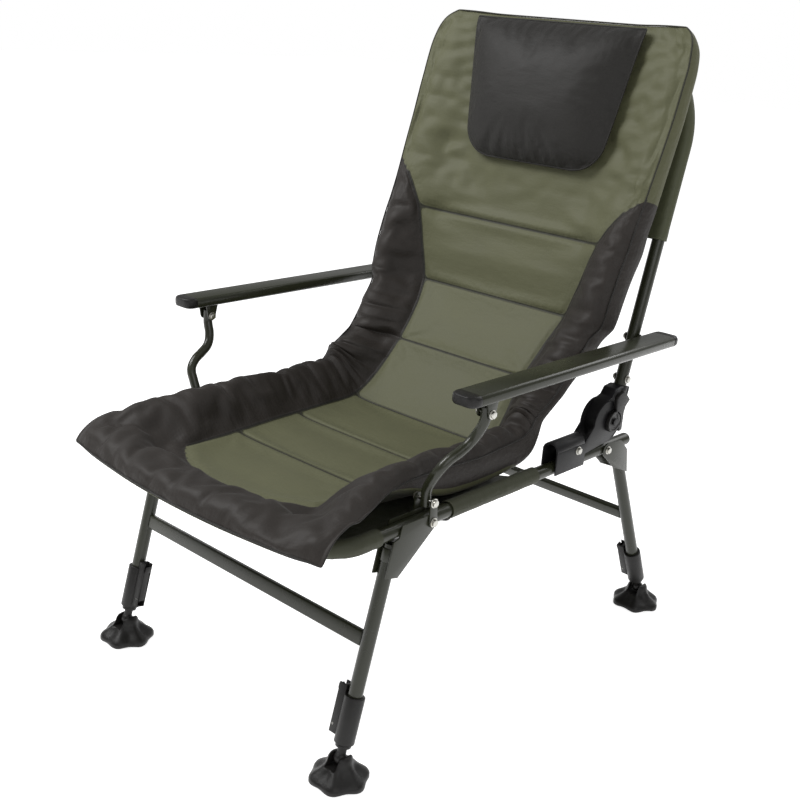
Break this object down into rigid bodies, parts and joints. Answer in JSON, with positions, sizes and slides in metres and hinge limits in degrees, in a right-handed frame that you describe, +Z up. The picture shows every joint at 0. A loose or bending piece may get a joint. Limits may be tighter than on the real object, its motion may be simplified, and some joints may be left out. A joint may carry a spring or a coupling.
{
  "type": "carp fishing chair",
  "caption": "Folding padded fishing chair with a reclining back, linked armrests, fold-flat legs with clamp-lever extensions and tilting mud feet.",
  "frame": {"origin": "on the floor under the middle of the chair's box", "axes": "+Z up, the sitter faces -Y, +X is the sitter's left"},
  "size_m": [0.6732, 0.9714, 1.0814],
  "materials": {
    "olive_paint": "gloss powder coat",
    "black_steel": "satin powder coat",
    "zinc": "bright zinc plate",
    "black_plastic": "satin moulded",
    "olive_fabric": "woven nylon",
    "black_fabric": "woven nylon"
  },
  "bodies": {
    "seat_frame": {"seat_rail_left": "olive_paint", "seat_rail_right": "olive_paint", "seat_front_tube": "olive_paint", "recline_bracket_left": "black_steel", "recline_bracket_right": "black_steel", "arm_link_left": "olive_paint", "arm_link_right": "olive_paint", "front_pivot_bolt_left": "zinc", "front_pivot_bolt_right": "zinc", "rear_pivot_bolt_left": "zinc", "rear_pivot_bolt_right": "zinc", "seat_sling": "olive_fabric", "seat_pad": "olive_fabric", "waist_pad": "olive_fabric"},
    "backrest": {"back_tube_left": "olive_paint", "back_tube_right": "olive_paint", "back_top_tube": "olive_paint", "hinge_socket_left": "black_steel", "hinge_socket_right": "black_steel", "back_pad": "olive_fabric", "headrest_pillow": "black_fabric", "back_pocket": "olive_fabric"},
    "recline_lever_l": {"recline_lever_left": "black_plastic"},
    "recline_lever_r": {"recline_lever_right": "black_plastic"},
    "armrest_l": {"armrest_left": "olive_paint", "armrest_cap_front_left": "black_plastic", "armrest_cap_rear_left": "black_plastic", "armrest_clevis_left": "olive_paint", "armrest_hinge_left": "olive_paint"},
    "armrest_r": {"armrest_right": "olive_paint", "armrest_cap_front_right": "black_plastic", "armrest_cap_rear_right": "black_plastic", "armrest_clevis_right": "olive_paint", "armrest_hinge_right": "olive_paint"},
    "arm_support_l": {"arm_support_left": "olive_paint"},
    "arm_support_r": {"arm_support_right": "olive_paint"},
    "front_legs": {"front_leg_left": "olive_paint", "front_leg_right": "olive_paint", "front_crossbar": "olive_paint", "front_collar_left": "black_plastic", "front_collar_right": "black_plastic"},
    "rear_legs": {"rear_leg_left": "olive_paint", "rear_leg_right": "olive_paint", "rear_crossbar": "olive_paint", "rear_collar_left": "black_plastic", "rear_collar_right": "black_plastic"},
    "front_lever_l": {"front_collar_lever_left": "black_plastic"},
    "front_lever_r": {"front_collar_lever_right": "black_plastic"},
    "rear_lever_l": {"rear_collar_lever_left": "black_plastic"},
    "rear_lever_r": {"rear_collar_lever_right": "black_plastic"},
    "front_inner_l": {"front_inner_leg_left": "olive_paint"},
    "front_inner_r": {"front_inner_leg_right": "olive_paint"},
    "rear_inner_l": {"rear_inner_leg_left": "olive_paint"},
    "rear_inner_r": {"rear_inner_leg_right": "olive_paint"},
    "front_foot_l": {"front_foot_left": "black_plastic"},
    "front_foot_r": {"front_foot_right": "black_plastic"},
    "rear_foot_l": {"rear_foot_left": "black_plastic"},
    "rear_foot_r": {"rear_foot_right": "black_plastic"}
  },
  "joints": [
    {"name": "front_leg_fold", "type": "hinge", "parent": "seat_frame", "child": "front_legs", "pos_m": [0, -0.22869, 0.377], "axis": [1, 0, 0], "range_deg": [0, 101]},
    {"name": "rear_leg_fold", "type": "hinge", "parent": "seat_frame", "child": "rear_legs", "pos_m": [0, 0.23631, 0.377], "axis": [1, 0, 0], "range_deg": [-110, 0]},
    {"name": "recline", "type": "hinge", "parent": "seat_frame", "child": "backrest", "pos_m": [0, 0.23131, 0.433], "axis": [1, 0, 0], "range_deg": [-45, 70], "deforming": ["waist_pad"]},
    {"name": "recline_lever_left", "type": "hinge", "parent": "backrest", "child": "recline_lever_l", "pos_m": [0.2848, 0.23131, 0.433], "axis": [1, 0, 0], "range_deg": [-12, 0], "stiffness_Nm_per_rad": 0.4, "springref_deg": 5.73},
    {"name": "recline_lever_right", "type": "hinge", "parent": "backrest", "child": "recline_lever_r", "pos_m": [-0.2848, 0.23131, 0.433], "axis": [1, 0, 0], "range_deg": [-12, 0], "stiffness_Nm_per_rad": 0.4, "springref_deg": 5.73},
    {"name": "armrest_left_rear", "type": "hinge", "parent": "backrest", "child": "armrest_l", "pos_m": [0.265, 0.29104, 0.56862], "axis": [1, 0, 0], "range_deg": [-70, 45]},
    {"name": "armrest_right_rear", "type": "hinge", "parent": "backrest", "child": "armrest_r", "pos_m": [-0.265, 0.29104, 0.56862], "axis": [1, 0, 0], "range_deg": [-70, 45]},
    {"name": "arm_support_left_foot", "type": "hinge", "parent": "seat_frame", "child": "arm_support_l", "pos_m": [0.265, -0.23069, 0.408], "axis": [1, 0, 0], "range_deg": [-45, 70]},
    {"name": "arm_support_right_foot", "type": "hinge", "parent": "seat_frame", "child": "arm_support_r", "pos_m": [-0.265, -0.23069, 0.408], "axis": [1, 0, 0], "range_deg": [-45, 70]},
    {"name": "front_left_extension", "type": "slide", "parent": "front_legs", "child": "front_inner_l", "axis": [0, 0.2402, 0.9707], "range_m": [-0.1, 0]},
    {"name": "front_right_extension", "type": "slide", "parent": "front_legs", "child": "front_inner_r", "axis": [0, 0.2402, 0.9707], "range_m": [-0.1, 0]},
    {"name": "rear_left_extension", "type": "slide", "parent": "rear_legs", "child": "rear_inner_l", "axis": [0, 0.4321, -0.9018], "range_m": [0, 0.1]},
    {"name": "rear_right_extension", "type": "slide", "parent": "rear_legs", "child": "rear_inner_r", "axis": [0, 0.4321, -0.9018], "range_m": [0, 0.1]},
    {"name": "front_left_clamp", "type": "hinge", "parent": "front_legs", "child": "front_lever_l", "pos_m": [0.242, -0.3659, 0.08068], "axis": [0, -0.9707, 0.2402], "range_deg": [0, 50]},
    {"name": "front_right_clamp", "type": "hinge", "parent": "front_legs", "child": "front_lever_r", "pos_m": [-0.242, -0.3659, 0.08068], "axis": [0, 0.9707, -0.2402], "range_deg": [0, 50]},
    {"name": "rear_left_clamp", "type": "hinge", "parent": "rear_legs", "child": "rear_lever_l", "pos_m": [0.242, 0.42301, 0.07758], "axis": [0, -0.9018, -0.4321], "range_deg": [0, 50]},
    {"name": "rear_right_clamp", "type": "hinge", "parent": "rear_legs", "child": "rear_lever_r", "pos_m": [-0.242, 0.42301, 0.07758], "axis": [0, 0.9018, 0.4321], "range_deg": [0, 50]},
    {"name": "front_left_foot_tilt", "type": "hinge", "parent": "front_inner_l", "child": "front_foot_l", "pos_m": [0.265, -0.37671, 0.037], "axis": [1, 0, 0], "range_deg": [-20, 20]},
    {"name": "front_right_foot_tilt", "type": "hinge", "parent": "front_inner_r", "child": "front_foot_r", "pos_m": [-0.265, -0.37671, 0.037], "axis": [1, 0, 0], "range_deg": [-20, 20]},
    {"name": "rear_left_foot_tilt", "type": "hinge", "parent": "rear_inner_l", "child": "rear_foot_l", "pos_m": [0.265, 0.44245, 0.037], "axis": [1, 0, 0], "range_deg": [-20, 20]},
    {"name": "rear_right_foot_tilt", "type": "hinge", "parent": "rear_inner_r", "child": "rear_foot_r", "pos_m": [-0.265, 0.44245, 0.037], "axis": [1, 0, 0], "range_deg": [-20, 20]}
  ],
  "couplings": [
    {"joint": "armrest_left_rear", "follows": "recline", "ratio": -1},
    {"joint": "armrest_right_rear", "follows": "recline", "ratio": -1},
    {"joint": "arm_support_left_foot", "follows": "recline", "ratio": 1},
    {"joint": "arm_support_right_foot", "follows": "recline", "ratio": 1}
  ]
}
